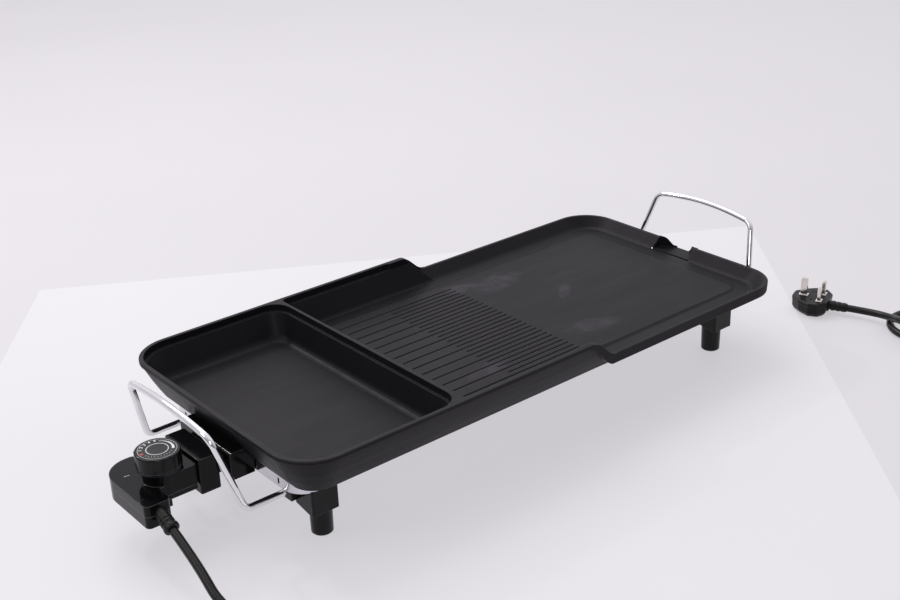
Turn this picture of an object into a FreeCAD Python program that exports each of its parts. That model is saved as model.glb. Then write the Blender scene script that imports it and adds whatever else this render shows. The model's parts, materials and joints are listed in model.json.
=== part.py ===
import FreeCAD, Part
import math
import os

# Electric table griddle with a deep pan, a plug-in thermostat control and its mains lead.
# Millimetres, +Z up, X along the plate. Sizes are set out from the plate's centre, down on the table.
# save() then moves every node along X, so that the origin is under the middle of the whole part.

V = FreeCAD.Vector
X, Y, Z = V(1, 0, 0), V(0, 1, 0), V(0, 0, 1)

# ---------------------------------------------------------------- driving dimensions
# cast plate
plate_length = 680.0
plate_width = 326.0
plate_corner = 46.0          # corner radius of the raised rim, seen from above
plate_bottom = 69.0          # height of the casting's flat underside
pan_height = 44.5            # top of the rim round the deep pan and the ridged zone, above the underside
low_height = 22.5            # top of the rim round the flat zone
pan_floor_thick = 7.0
griddle_floor_thick = 11.0
gutter_depth = 1.5           # of the channel round the raised cooking floor
gutter_far = 41.0            # inner edge of that channel, in from the rim's long sides
gutter_end = 38.0            # and in from the rim's right end
gutter_slope = 4.0           # width of the raised floor's sloping edge
plateau_corner = 14.0
lip_high = 4.6               # height of the raised rim's outer lip
lip_low = 11.8               # and of the low rim's
lip_edge = 0.8               # bevel along the lips' edges
wall_foot = 22.4             # outside wall: how far its foot is in from the rim's outer edge
wall_head = 2.2              # and its head, under the raised rim's lip
wall_belly = 4.6             # how much it bulges outwards on the way
wall_heel = 1.6              # bevel of the casting's lower edge
base_inset = 23.5            # left end of the heating tube's ribs, in from the rim's outer edge
rim_wall = 5.0
low_rim_wall = 5.5
lid_seat_depth = 8.0
lid_seat_width = 2.5
pan_foot_inset = 21.2        # foot of the pan's inner walls, in from the rim's outer edge
griddle_foot_inset = 19.8
griddle_foot_end = 17.0      # the same at the plate's right end
pan_cove = 6.0               # radius where the pan's walls meet its floor
gutter_cove = 3.0
pan_length = 191.0           # from the plate's left end to the middle of the divider
divider_top = 3.2
divider_lean = 10.0
pan_right_corner = 16.0      # corner radius of the pan's floor beside the divider
griddle_left_corner = 8.0
step_from = 171.0            # S-shaped step from the raised rim to the low rim, from the divider
step_length = 38.0
lip_step_lead = 6.0          # how much sooner the step starts along the lip's lower edge
seat_before_step = 14.0      # the ridged zone's lid seat ends so far before the step
# ridged zone
groove_count = 27
groove_pitch = 8.23
groove_radius = 1.3
groove_before_step = 2.5     # the grooves end so far before the step's end
groove_long = 163.5
groove_short = 95.5
# drain lip
drain_half = 27.5
drain_mouth_half = 9.5
drain_reach = 9.0
drain_wall = 3.0
drain_sill = 1.6             # height of the mouth's side walls over its floor
# heating tube, cast into ribs under the plate
tube_radius = 4.0
rib_radius = 7.0
tube_half_width = 62.0
tube_end = 100.0             # far bend of the tube, from the plate's right end
tube_lead = 42.0             # straight stretch of the tube behind each terminal
lead_half = 13.0             # half the spacing of the two terminal pins
pin_radius = 2.0
pin_reach = 20.0
# probe seat
probe_radius = 3.0
probe_fit = 0.08             # radial running clearance of the probe in its seat
sleeve_fit = 0.08            # and of the terminal pins in the contact sleeves
probe_boss_radius = 6.0
probe_seat_length = 60.0
# reflector tray
tray_gap = 1.0               # between its left end and the ends of the heating tube's ribs
tray_inset = 45.0            # in from the rim's long sides
tray_corner = 24.0
tray_height = 14.2
tray_clearance = 0.1         # between its edge and the plate
sheet = 0.8
# feet
foot_from_end = 32.5         # peg's axis, in from the tray's ends
foot_from_side = 14.5
foot_block_inner = 12.0      # block, from the peg's axis towards the plate's middle
foot_block_outer = 18.0
foot_block_y = 30.0
foot_block_height = 25.7     # at its outer side
foot_block_rise = 4.5        # how much less it is at its inner side
foot_collar = 11.5           # how far the block's collar reaches out along the wire
peg_radius = 11.4
peg_taper = 0.6
screw_recess = 14.0
foot_screw_radius = 2.5
screw_head_radius = 4.7
screw_head_height = 3.4
screw_fit = 0.2              # radial clearance of screws in the pieces that they hold
post_foot_radius = 7.0
# wire handles
wire_radius = 3.5
wire_fit = 0.05              # radial clearance of the wire in the feet
wire_from_peg = 10.5
handle_left_foot = 16.5      # how far the left handle's foot stands out from the plate's end
handle_left_top = 38.5       # and its grip
handle_right_foot = 22.0
handle_right_top = 47.0
handle_narrowing = 18.0      # how much nearer the middle each leg's top is than its foot
handle_shoulder = 11.5       # top of each leg above the raised rim
handle_arch = 22.0           # where the grip's halves would meet without their bend, above the rim
foot_bend = 9.0
shoulder_bend = 14.0
grip_bend = 393.0
# socket on the plate's left end
socket_half = 46.5
socket_reach = 2.0           # how far it stands out beyond the plate's end
socket_below = 11.0          # its underside, below the heating tube's axis
socket_above = 18.0          # its top, above that axis
socket_top_inset = 14.0      # its top's inner edge, in from the plate's end
socket_edge = 2.5
wall_clearance = 0.6         # between its back and the plate's wall
bead_radius = 4.2
# lugs that hold the socket under the plate
socket_lug_back = 13.5
socket_lug_y = 36.0
socket_lug_drop = 7.0        # top of the lugs under the plate
socket_lug_thick = 3.0
socket_lug_half = 6.0
small_screw_radius = 2.0
small_head_radius = 3.6
small_head_height = 2.4
# plug-in control: head with its nose, neck, and case with its cord arm
slide_gap = 0.6              # clearance of the control's nose in the socket
nose_half = 28.0
nose_length = 21.0
nose_below = 9.0             # below and above the heating tube's axis
nose_above = 9.5
head_gap = 4.0               # between the head and the socket
head_thick = 21.5
head_half = 32.0
head_below = 22.0
head_above = 15.0
neck_gap = 2.0               # between the neck and the head
neck_length = 33.5
neck_half = 31.0
neck_below = 14.0
neck_above = 12.0
case_reach = 32.0            # how far the case stands out beyond the neck
case_lap = 5.0               # how far its rear part reaches along the neck
arm_gap = 6.0                # between its cord arm and the neck
case_far = 40.0
case_corner = 28.0           # radius of the case's far left corner
case_edge = 5.0
case_arm_near = -52.5
case_arm_far = -31.0
case_below = 21.0
case_above = 2.0
case_split_below = 9.0       # joint of the case's halves, below the heating tube's axis
case_wall = 2.5
post_radius = 3.4
post_inset = 14.0
case_screw_radius = 1.4
case_screw_head = 2.5
case_screw_grip = 6.0        # how far the case screws reach into the upper half
spigot_half = 26.0
spigot_drop = 4.0            # the head's spigot, in from the neck's top and bottom
collar_radius = 17.5         # collar of the case under the knob
bush_radius = 5.0
stack_radius = 7.0
stack_height = 5.5
blade_pitch = 1.6
blade_thick = 0.6
sleeve_radius = 3.6
# knob
knob_from_neck = 5.0
knob_y = -14.0
knob_radius = 21.7
knob_height = 17.5
knob_gap = 0.6               # between the knob and the collar
knob_skirt_wall = 2.4
knob_top_thick = 5.0
hub_radius = 6.5
shaft_radius = 3.0
shaft_fit = 0.08
shaft_flat = 1.0
dial_radius = 18.6
dial_thick = 0.8
# mains lead
cord_radius = 4.4
cord_from_left = 14.0        # the lead leaves the case so far from its left side
boot_length = 22.0
boot_radius = 6.4
boot_bead_radius = 7.6
boot_bead = 5.5              # length of the strain relief's thick end
boot_droop = 20.0            # degrees that the strain relief points down
boot_grip = 12.0             # length of lead held in its end
# plug
plug_height = 18.0
plug_turn = 21.0             # degrees that the plug is turned from -Y towards +X
plug_mid = V(465.0, -129.5, 0.0)   # midway between the two current pins
pin_spacing = 22.2
earth_wide = 8.0             # flat pins: width along their long side, and how far they stand out
earth_stand = 22.7
blade_long = 6.35
blade_stand = 17.7
blade_width = 4.0            # thickness of all three
earth_spacing = 22.2
plug_face = 5.0              # thickness of the face that carries the pins
plug_pin_root = 4.0
plug_boot_radius = 6.3
plug_boot_length = 22.0
plug_end = 10.5              # the lead's end of the plug, from the line between the current pins
fuse_radius = 3.15
fuse_half = 12.7
fuse_floor = 3.0
fuse_z = 8.5
fuse_x = -10.0               # the fuse's axis, from the line between the current pins
fuse_gap = 0.3               # clearance of the carrier in its well

# ---------------------------------------------------------------- worked-out places
half_length = plate_length / 2
half_width = plate_width / 2
rim_high_z = plate_bottom + pan_height
rim_low_z = plate_bottom + low_height
pan_floor_z = plate_bottom + pan_floor_thick
griddle_floor_z = plate_bottom + griddle_floor_thick
gutter_z = griddle_floor_z - gutter_depth
seat_z = rim_high_z - lid_seat_depth
divider_x = -half_length + pan_length
step_start = divider_x + step_from
step_end = step_start + step_length
groove_end = step_end - groove_before_step
base_left = -half_length + base_inset
tube_z = plate_bottom - tube_radius
terminal_x = base_left + 2.0           # where the pins enter the heating tube's ends
tray_bottom = plate_bottom - tray_clearance - tray_height
tray_half_length = -base_left - tray_gap
tray_half_width = half_width - tray_inset
foot_x = tray_half_length - foot_from_end
foot_y = tray_half_width - foot_from_side
wire_y = foot_y - wire_from_peg
wire_z = tray_bottom - wire_radius
socket_front = -half_length - socket_reach
socket_lug_x = base_left + socket_lug_back
socket_lug_top = plate_bottom - socket_lug_drop
head_right = socket_front - head_gap
head_left = head_right - head_thick
nose_right = head_right + nose_length
nose_bottom = tube_z - nose_below
nose_top = tube_z + nose_above
neck_right = head_left - neck_gap
neck_left = neck_right - neck_length
neck_bottom = tube_z - neck_below
neck_top = tube_z + neck_above
case_left = neck_left - case_reach
case_right = neck_left + case_lap
case_arm_right = neck_left - arm_gap
case_bottom = tube_z - case_below
case_top = tube_z + case_above
case_split = tube_z - case_split_below
knob_x = neck_left + knob_from_neck
knob_bottom = tube_z + head_above
knob_top = knob_bottom + knob_height
bush_bottom = knob_bottom - knob_gap - case_wall - 1.5
stack_top = neck_bottom + case_wall + stack_height
blades_top = stack_top + 2 * blade_pitch
sleeve_left = head_left + 4.0
probe_tip = base_left + probe_seat_length - 4.0
probe_back = neck_left + 14.0
frame_shift = V(-(case_left + half_length + handle_right_top + wire_radius) / 2, 0, 0)
boot_axis = V(0, -math.cos(math.radians(boot_droop)), -math.sin(math.radians(boot_droop)))
boot_start = V(case_left + cord_from_left, case_arm_near, case_split)
boot_end = boot_start + boot_axis * boot_length
cord_start = boot_end - boot_axis * boot_grip
plug_axis = V(math.sin(math.radians(plug_turn)), -math.cos(math.radians(plug_turn)), 0)
plug_boot_end = plug_mid + plug_axis * (plug_end + plug_boot_length) + Z * (plug_height / 2)


# ---------------------------------------------------------------- helpers
def box(x0, x1, y0, y1, z0, z1):
    return Part.makeBox(x1 - x0, y1 - y0, z1 - z0, V(x0, y0, z0))


def rod(radius, start, end):
    return Part.makeCylinder(radius, (end - start).Length, start, end - start)


def ring(outer, inner, start, end):
    return rod(outer, start, end).cut(rod(inner, start, end))


def outline(x0, x1, half, z, left_radius, right_radius=None):
    """Rounded rectangle at height z, from x0 to x1 and half wide each side of Y = 0."""
    return outline_xy(x0, x1, -half, half, z, left_radius, right_radius)


def outline_xy(x0, x1, y0, y1, z, left_radius, right_radius=None):
    a, b = left_radius, left_radius if right_radius is None else right_radius
    k = math.sqrt(0.5)
    edges = []

    def line(p, q):
        edges.append(Part.makeLine(V(*p, z), V(*q, z)))

    def arc(cx, cy, r, p, q, sx, sy):
        mid = V(cx + sx * r * k, cy + sy * r * k, z)
        edges.append(Part.Arc(V(*p, z), mid, V(*q, z)).toShape())

    line((x0 + a, y0), (x1 - b, y0))
    arc(x1 - b, y0 + b, b, (x1 - b, y0), (x1, y0 + b), 1, -1)
    line((x1, y0 + b), (x1, y1 - b))
    arc(x1 - b, y1 - b, b, (x1, y1 - b), (x1 - b, y1), 1, 1)
    line((x1 - b, y1), (x0 + a, y1))
    arc(x0 + a, y1 - a, a, (x0 + a, y1), (x0, y1 - a), -1, 1)
    line((x0, y1 - a), (x0, y0 + a))
    arc(x0 + a, y0 + a, a, (x0, y0 + a), (x0 + a, y0), -1, -1)
    return Part.Wire(edges)


def loft(wires):
    return Part.makeLoft(wires, True, True)


def rim_outline(inset, z):
    radius = max(plate_corner - inset, 10.0)
    return outline(-half_length + inset, half_length - inset, half_width - inset, z, radius)


def slab(points, y0, y1):
    """Solid with the XZ outline given, from y0 to y1."""
    corners = [V(x, y0, z) for x, z in points]
    face = Part.Face(Part.makePolygon(corners + corners[:1]))
    return face.extrude(V(0, y1 - y0, 0))


def rounded_path(points, radii):
    """Straight runs joined by tangent arcs; radii has one value per inner point."""
    edges, at = [], points[0]
    for i in range(1, len(points) - 1):
        before = (points[i - 1] - points[i]).normalize()
        after = (points[i + 1] - points[i]).normalize()
        half_turn = (math.pi - before.getAngle(after)) / 2
        trim = radii[i - 1] * math.tan(half_turn)
        start, end = points[i] + before * trim, points[i] + after * trim
        bisector = (before + after).normalize()
        centre_gap = radii[i - 1] / math.cos(half_turn)
        middle = points[i] + bisector * (centre_gap - radii[i - 1])
        edges.append(Part.LineSegment(at, start).toShape())
        edges.append(Part.Arc(start, middle, end).toShape())
        at = end
    edges.append(Part.LineSegment(at, points[-1]).toShape())
    return Part.Wire(edges)


def pipe(path, radius):
    first = path.OrderedEdges[0]
    start = first.valueAt(first.FirstParameter)
    circle = Part.Circle(start, first.tangentAt(first.FirstParameter), radius).toShape()
    return path.makePipeShell([Part.Wire([circle])], True, False)


def mirrored(shape, x=False, y=False):
    if x:
        shape = shape.mirror(V(0, 0, 0), X)
    if y:
        shape = shape.mirror(V(0, 0, 0), Y)
    return shape


def screw(x, y, seat, tip, shank, head, head_height):
    """Screw driven upwards: its head hangs below seat."""
    body = rod(shank, V(x, y, seat), V(x, y, tip))
    cap = rod(head, V(x, y, seat - head_height), V(x, y, seat))
    slot = box(x - head, x + head, y - 0.5, y + 0.5, seat - head_height, seat - head_height + 1.0)
    return body.fuse(cap.cut(slot)).removeSplitter()


def save(name, *solids):
    shape = solids[0] if len(solids) == 1 else Part.makeCompound(list(solids))
    shape = shape.translated(frame_shift)
    shape.exportStep("parts/" + name + ".step")
    print(f"{name:24s} solids {len(shape.Solids)} volume {shape.Volume:12.1f} valid {shape.isValid()}")


# ---------------------------------------------------------------- cast plate
def cove_levels(floor_z, radius, steps=4):
    """Heights and insets of a quarter-round cove that rises from a floor into a wall."""
    for i in range(steps + 1):
        angle = math.pi / 2 * i / steps
        yield floor_z + radius * (1 - math.cos(angle)), radius * (1 - math.sin(angle))


def wall_inset(z):
    """How far the casting's outside wall is in from the rim's outer edge, at height z."""
    share = (z - plate_bottom) / (pan_height - lip_high)
    return wall_foot - (wall_foot - wall_head + wall_belly) * share + wall_belly * share ** 2


def s_curve(start_x, start_z, end_x, end_z):
    """Edge in front of the plate that leaves and arrives level."""
    pull = (end_x - start_x) * 0.4
    curve = Part.BezierCurve()
    curve.setPoles([V(x, -plate_width, z) for x, z in ((start_x, start_z), (start_x + pull, start_z),
                                                       (end_x - pull, end_z), (end_x, end_z))])
    return curve.toShape()


def beside(curve, corners):
    """Everything on one side of an s_curve: corners run from its end round to its start."""
    points = [V(x, -plate_width, z) for x, z in corners]
    face = Part.Face(Part.Wire([curve] + Part.makePolygon(points).Edges))
    return face.extrude(V(0, 2 * plate_width, 0))


def plate_outer():
    """The casting's outside: sloping wall, and a lip that steps down from the raised rim to the low one."""
    levels = [(wall_foot + wall_heel, plate_bottom)]
    for share in (0.03, 0.1, 0.3, 0.6, 0.85, 1.0):
        z = plate_bottom + (pan_height - lip_high) * share
        levels.append((wall_inset(z), z))
    base = loft([rim_outline(inset, z) for inset, z in levels])
    high_bottom = rim_high_z - lip_high
    low_bottom = rim_low_z - lip_low
    high_head = [rim_outline(0.3, rim_high_z - lip_edge), rim_outline(0.3 + lip_edge, rim_high_z)]
    low_foot = [rim_outline(2.2 + lip_edge, low_bottom), rim_outline(2.0, low_bottom + lip_edge)]
    high_lip = loft([rim_outline(0.8 + lip_edge, high_bottom),
                     rim_outline(0.3, high_bottom + lip_edge)] + high_head)
    low_lip = loft(low_foot + [rim_outline(1.4, rim_low_z - lip_edge),
                               rim_outline(1.4 + lip_edge, rim_low_z)])
    step_lip = loft(low_foot + high_head)
    lip_start, lip_end = step_start - lip_step_lead, step_end - 2.0
    far, over = half_length + 10, rim_high_z + 10
    left = box(-far, lip_start, -far, far, 0, over)
    middle = box(lip_start, step_end, -far, far, 0, over)
    right = box(step_end, far, -far, far, 0, over)
    under = beside(s_curve(lip_start, high_bottom, lip_end, low_bottom),
                   [(lip_end, low_bottom), (lip_end, 0), (-far, 0), (-far, high_bottom),
                    (lip_start, high_bottom)])
    body = base.fuse([high_lip.common(left), step_lip.common(middle).cut(under), low_lip.common(right)])
    above = beside(s_curve(step_start, rim_high_z, step_end, rim_low_z),
                   [(step_end, rim_low_z), (far, rim_low_z), (far, over), (step_start, over),
                    (step_start, rim_high_z)])
    return body.cut(above)


def cavity(xs_floor, xs_top, floor_z, top_z, half_floor, half_top, radii, cove):
    """Hollow with coved foot and leaning walls. radii: left and right, at the floor and at the top."""
    (left_floor, right_floor), (left_top, right_top) = radii
    wires = []
    for z, inset in cove_levels(floor_z, cove):
        share = (z - floor_z) / (top_z - floor_z)
        x0 = xs_floor[0] + (xs_top[0] - xs_floor[0]) * share + inset
        x1 = xs_floor[1] + (xs_top[1] - xs_floor[1]) * share - inset
        half = half_floor + (half_top - half_floor) * share - inset
        left = max(left_floor + (left_top - left_floor) * share - inset * 0.6, 3.0)
        right = max(right_floor + (right_top - right_floor) * share - inset * 0.6, 3.0)
        wires.append(outline(x0, x1, half, z, left, right))
    wires.append(outline(*xs_top, half_top, top_z, left_top, right_top))
    return loft(wires)


def upright(x0, x1, half, z0, z1, left_radius, right_radius):
    return loft([outline(x0, x1, half, z, left_radius, right_radius) for z in (z0, z1)])


def plate_hollows():
    seat_inset = rim_wall + lid_seat_width
    over = rim_high_z + 1
    pan_right = divider_x - divider_top / 2
    griddle_left = divider_x + divider_top / 2
    griddle_right = half_length - griddle_foot_end
    foot_half = half_width - griddle_foot_inset
    foot_corner = plate_corner - griddle_foot_end
    pan = cavity((-half_length + pan_foot_inset, pan_right - divider_lean),
                 (-half_length + seat_inset, pan_right - lid_seat_width), pan_floor_z, seat_z,
                 half_width - pan_foot_inset, half_width - seat_inset,
                 ((plate_corner - pan_foot_inset, pan_right_corner),
                  (plate_corner - seat_inset, pan_right_corner + 4)), pan_cove)
    pan_seat = upright(-half_length + rim_wall, pan_right, half_width - rim_wall, seat_z, over,
                       plate_corner - rim_wall, pan_right_corner + 6)
    opening = (griddle_left + 1.6, half_length - seat_inset)
    griddle = cavity((griddle_left + 6.0, griddle_right), opening, gutter_z, seat_z, foot_half,
                     half_width - seat_inset, ((griddle_left_corner, foot_corner),
                                               (griddle_left_corner - 2, plate_corner - seat_inset)),
                     gutter_cove)
    griddle_open = upright(*opening, half_width - seat_inset, seat_z, over, griddle_left_corner - 2,
                           plate_corner - seat_inset)
    griddle_seat = upright(griddle_left, step_start - seat_before_step, half_width - rim_wall, seat_z,
                           over,
                           griddle_left_corner - 1, griddle_left_corner + 2)
    low_right, low_half = half_length - low_rim_wall, half_width - low_rim_wall
    low_corner = plate_corner - low_rim_wall
    low = cavity((step_start - 22.0, griddle_right), (step_start - 22.0, low_right), gutter_z, rim_low_z,
                 foot_half,
                 low_half, ((griddle_left_corner, foot_corner), (griddle_left_corner, low_corner)),
                 gutter_cove)
    low = low.fuse(upright(step_start - 22.0, low_right, low_half, rim_low_z, over, griddle_left_corner,
                           low_corner))
    lean = slab([(step_end + 2.0, gutter_z - 0.1), (step_start + 2.0, over + 1), (half_length, over + 1),
                 (half_length, gutter_z - 0.1)], -half_width, half_width)
    return [pan, pan_seat, griddle, griddle_open, griddle_seat, low.common(lean)]


def plateau():
    """Cooking floor of the griddle, raised a little inside its gutter."""
    left, right = divider_x + 18.0, half_length - gutter_end
    half = half_width - gutter_far
    levels = [(gutter_z - 1.0, gutter_slope + 1.0, 3.0), (gutter_z + 0.2, gutter_slope, 3.0),
              (griddle_floor_z - 0.3, gutter_slope / 5, 0.0), (griddle_floor_z, 0.0, 0.0)]
    return loft([outline(left - grow, right + grow, half + grow, z, plateau_corner + rounder)
                 for z, grow, rounder in levels])


def groove_cutters():
    cutters = []
    for i in range(groove_count):
        y = (i - (groove_count - 1) / 2) * groove_pitch
        length = groove_long if i % 2 == 0 else groove_short
        z = griddle_floor_z + 0.1
        cutters.append(rod(groove_radius, V(groove_end - length, y, z), V(groove_end, y, z)))
    return cutters


def drain_lip():
    """Pouring lip on the right end: a funnel whose walls fall towards its mouth. Gives body and hollow."""
    tip = half_length + drain_reach
    wall_foot = half_length - griddle_foot_end

    def plan(side, z):
        points = [V(x, -y, z) for x, y in side] + [V(x, y, z) for x, y in reversed(side)]
        return Part.Face(Part.makePolygon(points + points[:1]))

    outside = [(wall_foot + 4, drain_half + 4), (half_length + 1, drain_half + 3),
               (tip, drain_mouth_half + drain_wall)]
    inside = [(wall_foot - 5, drain_half + 6), (wall_foot, drain_half + 3.2),
              (wall_foot + 3, drain_half + 1.4),
              (wall_foot + 7, drain_half + 0.3), (half_length - 5, drain_half),
              (half_length - 2.5, drain_half - 1.5),
              (tip - 1, drain_mouth_half + 0.3), (tip + 6, drain_mouth_half)]
    body = plan(outside, gutter_z - 3.0).extrude(Z * (rim_low_z - gutter_z + 3.0))
    drop_start, drop_end = half_length - 1.0, tip - 1.0
    rest = gutter_z + drain_sill
    above = beside(s_curve(drop_start, rim_low_z, drop_end, rest),
                   [(drop_end, rest), (tip + 10, rest), (tip + 10, rim_high_z), (drop_start, rim_high_z),
                    (drop_start, rim_low_z)])
    hollow = plan(inside, gutter_z - 0.1).extrude(Z * pan_height)
    return body.cut(above), hollow


def tube_path():
    """Centre line of the heating tube: in at one terminal, round the plate and out at the other."""
    far = half_length - tube_end
    points = [V(terminal_x, lead_half, tube_z), V(terminal_x + tube_lead, lead_half, tube_z),
              V(terminal_x + 2 * tube_lead, tube_half_width, tube_z), V(far, tube_half_width, tube_z)]
    points += [V(p.x, -p.y, p.z) for p in reversed(points)]
    lead_bend, end_bend = tube_lead / 2 + 1.0, tube_half_width - 2.0
    return rounded_path(points, [lead_bend, lead_bend, end_bend, end_bend, lead_bend, lead_bend])


def make_plate():
    lip, hollow = drain_lip()
    body = plate_outer().fuse(lip).cut(plate_hollows() + [hollow]).fuse(plateau())
    ribs = [pipe(tube_path(), rib_radius)]
    seat_end = terminal_x + probe_seat_length
    ribs.append(rod(probe_boss_radius, V(terminal_x, 0, tube_z), V(seat_end + 4, 0, tube_z)))
    below = box(-half_length, half_length, -half_width, half_width, 0, plate_bottom + 1.0)
    ribs = [rib.common(below) for rib in ribs]
    for sx in (-1, 1):
        for sy in (-1, 1):
            at = V(sx * foot_x, sy * foot_y, 0)
            ribs.append(rod(post_foot_radius, at + Z * (tray_bottom + sheet),
                            at + Z * (plate_bottom + 1.0)))
    for sy in (-1, 1):
        at = V(socket_lug_x, sy * socket_lug_y, 0)
        ribs.append(rod(4.5, at + Z * socket_lug_top, at + Z * (plate_bottom + 1.0)))
    body = body.fuse(ribs)
    cuts = [pipe(tube_path(), tube_radius)] + groove_cutters()
    cuts.append(rod(probe_radius + probe_fit, V(terminal_x - 1, 0, tube_z), V(seat_end, 0, tube_z)))
    for sx in (-1, 1):
        for sy in (-1, 1):
            at = V(sx * foot_x, sy * foot_y, 0)
            cuts.append(rod(foot_screw_radius, at + Z * tray_bottom, at + Z * (plate_bottom - 2.0)))
    for sy in (-1, 1):
        at = V(socket_lug_x, sy * socket_lug_y, 0)
        cuts.append(rod(small_screw_radius, at + Z * (socket_lug_top - 1), at + Z * (plate_bottom - 1.0)))
    return body.cut(cuts).removeSplitter()


# ---------------------------------------------------------------- parts under the plate
def make_terminal_pins():
    """Two pins that leave the heating tube's ends and stand in the socket."""
    return [rod(pin_radius, V(terminal_x - pin_reach, s * lead_half, tube_z),
                V(terminal_x, s * lead_half, tube_z))
            for s in (-1, 1)]


def make_tray():
    """Chromed sheet tray that closes the underside and throws the heat back."""
    outer = loft([outline(-tray_half_length, tray_half_length, tray_half_width, z, tray_corner)
                  for z in (tray_bottom, tray_bottom + tray_height)])
    inner = loft([outline(-tray_half_length + sheet, tray_half_length - sheet, tray_half_width - sheet, z,
                          tray_corner - sheet) for z in (tray_bottom + sheet,
                                                         tray_bottom + tray_height + 1)])
    cuts = [box(-tray_half_length - 1, -tray_half_length + 8, -socket_half - 1.5, socket_half + 1.5,
                tray_bottom + 2.5, plate_bottom + 1)]
    for sx in (-1, 1):
        for sy in (-1, 1):
            at = V(sx * foot_x, sy * foot_y, 0)
            cuts.append(rod(foot_screw_radius + screw_fit, at + Z * (tray_bottom - 1),
                            at + Z * (tray_bottom + 2)))
            wall, vent = sx * tray_half_length, sy * (wire_y - 7.0)
            cuts.append(box(wall - 2, wall + 2, vent - 1.5, vent + 1.5, tray_bottom + 3.5,
                            tray_bottom + 9.5))
    shell = outer.cut(inner).cut(cuts)
    return shell.removeSplitter()


def make_foot(sx, sy):
    """Moulded foot: a block that clamps the handle's wire under the tray, and a round peg."""
    x0, x1 = foot_x - foot_block_inner, foot_x + foot_block_outer
    y0, y1 = foot_y - foot_block_y / 2, foot_y + foot_block_y / 2
    bottom = tray_bottom - foot_block_height
    block = box(x0, x1, y0, y1, bottom, tray_bottom)
    block = block.makeFillet(2.0, [e for e in block.Edges if e.BoundBox.ZLength > foot_block_height - 1])
    slope = [V(x0 - 1, y0 - 1, bottom + foot_block_rise), V(x0 - 1, y1 - 6, bottom),
             V(x0 - 1, y1 - 6, bottom - 1),
             V(x0 - 1, y0 - 1, bottom - 1)]
    block = block.cut(Part.Face(Part.makePolygon(slope + slope[:1])).extrude(V(x1 - x0 + 2, 0, 0)))
    peg = Part.makeCone(peg_radius - peg_taper, peg_radius, bottom + foot_block_rise, V(foot_x, foot_y, 0))
    peg = peg.makeChamfer(1.2, [e for e in peg.Edges if e.BoundBox.ZMax < 0.1])
    half = wire_radius + wire_fit
    collar = box(x1 - 1, x1 + foot_collar, y0 + 0.5, wire_y + wire_radius + 4.5, wire_z - wire_radius - 4,
                 tray_bottom)
    channel = rod(half, V(x0 - 5, wire_y, wire_z), V(x1 + 20, wire_y, wire_z))
    channel = channel.fuse(box(x0 - 5, x1 + 20, wire_y - half, wire_y + half, wire_z, tray_bottom + 1))
    at = V(foot_x, foot_y, 0)
    hole = rod(foot_screw_radius + screw_fit, at, at + Z * (tray_bottom + 1))
    recess = rod(screw_head_radius + 2 * screw_fit, at - Z, at + Z * screw_recess)
    foot = block.fuse([peg, collar]).cut([channel, hole, recess]).removeSplitter()
    return mirrored(foot, x=sx < 0, y=sy < 0)


def make_foot_screws():
    return [screw(sx * foot_x, sy * foot_y, screw_recess, plate_bottom - 3.0, foot_screw_radius,
                  screw_head_radius, screw_head_height) for sx in (-1, 1) for sy in (-1, 1)]


def make_handle(sx, foot_reach, top_reach):
    """Chromed wire handle: in along one foot, up, over the grip and back to the other foot."""
    foot, top = half_length + foot_reach, half_length + top_reach
    shoulder_z, arch_z = rim_high_z + handle_shoulder, rim_high_z + handle_arch
    shoulder_x = foot + (top - foot) * (shoulder_z - wire_z) / (arch_z - wire_z)
    side = [V(foot_x - foot_block_inner + 1.0, wire_y, wire_z), V(foot, wire_y, wire_z),
            V(shoulder_x, wire_y - handle_narrowing, shoulder_z)]
    points = side + [V(top, 0, arch_z)] + [V(p.x, -p.y, p.z) for p in reversed(side)]
    path = rounded_path(points, [foot_bend, shoulder_bend, grip_bend, shoulder_bend, foot_bend])
    return mirrored(pipe(path, wire_radius), x=sx < 0)


def make_socket():
    """Glossy housing on the plate's left end for the control's nose. Its back follows the plate's wall."""
    back = base_left - 0.3
    bottom, top = tube_z - socket_below, tube_z + socket_above
    profile = [(socket_front, bottom), (socket_front, top), (-half_length + socket_top_inset, top)]
    for z in (top - 2.0, plate_bottom + 4.0, plate_bottom + 1.2):
        profile.append((-half_length + wall_inset(z) - wall_clearance, z))
    profile += [(back, plate_bottom - 0.5), (back, bottom)]
    shell = slab(profile, -socket_half, socket_half)
    front = [e for e in shell.Edges
             if e.BoundBox.YLength > socket_half and e.BoundBox.XMax < socket_front + 1]
    shell = shell.makeFillet(socket_edge, front)
    mouth_half = nose_half + slide_gap
    mouth = box(socket_front - 1, nose_right + 1.0, -mouth_half, mouth_half, nose_bottom - slide_gap,
                nose_top + slide_gap)
    cuts = [mouth, rod(probe_radius + 1.0, V(socket_front, 0, tube_z), V(back + 1, 0, tube_z))]
    for s in (-1, 1):
        cuts.append(rod(rib_radius + 0.2, V(back - 1.5, s * lead_half, tube_z),
                        V(back + 1, s * lead_half, tube_z)))
        cuts.append(rod(bead_radius, V(nose_right, s * lead_half, tube_z),
                        V(back + 1, s * lead_half, tube_z)))
    shell = shell.cut(cuts)
    lugs = []
    for s in (-1, 1):
        y0, y1 = s * socket_lug_y - socket_lug_half, s * socket_lug_y + socket_lug_half
        lug = box(back - 2, socket_lug_x + socket_lug_half, y0, y1, socket_lug_top - socket_lug_thick,
                  socket_lug_top)
        at = V(socket_lug_x, s * socket_lug_y, 0)
        lugs.append(lug.cut(rod(small_screw_radius + screw_fit, at, at + Z * plate_bottom)))
    return shell.fuse(lugs).removeSplitter()


def make_terminal_beads():
    """Ceramic beads round the pins where they come through the socket's back wall."""
    return [ring(bead_radius, pin_radius + 0.05, V(nose_right + 1.0, s * lead_half, tube_z),
                 V(base_left - 0.4, s * lead_half, tube_z)) for s in (-1, 1)]


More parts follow.
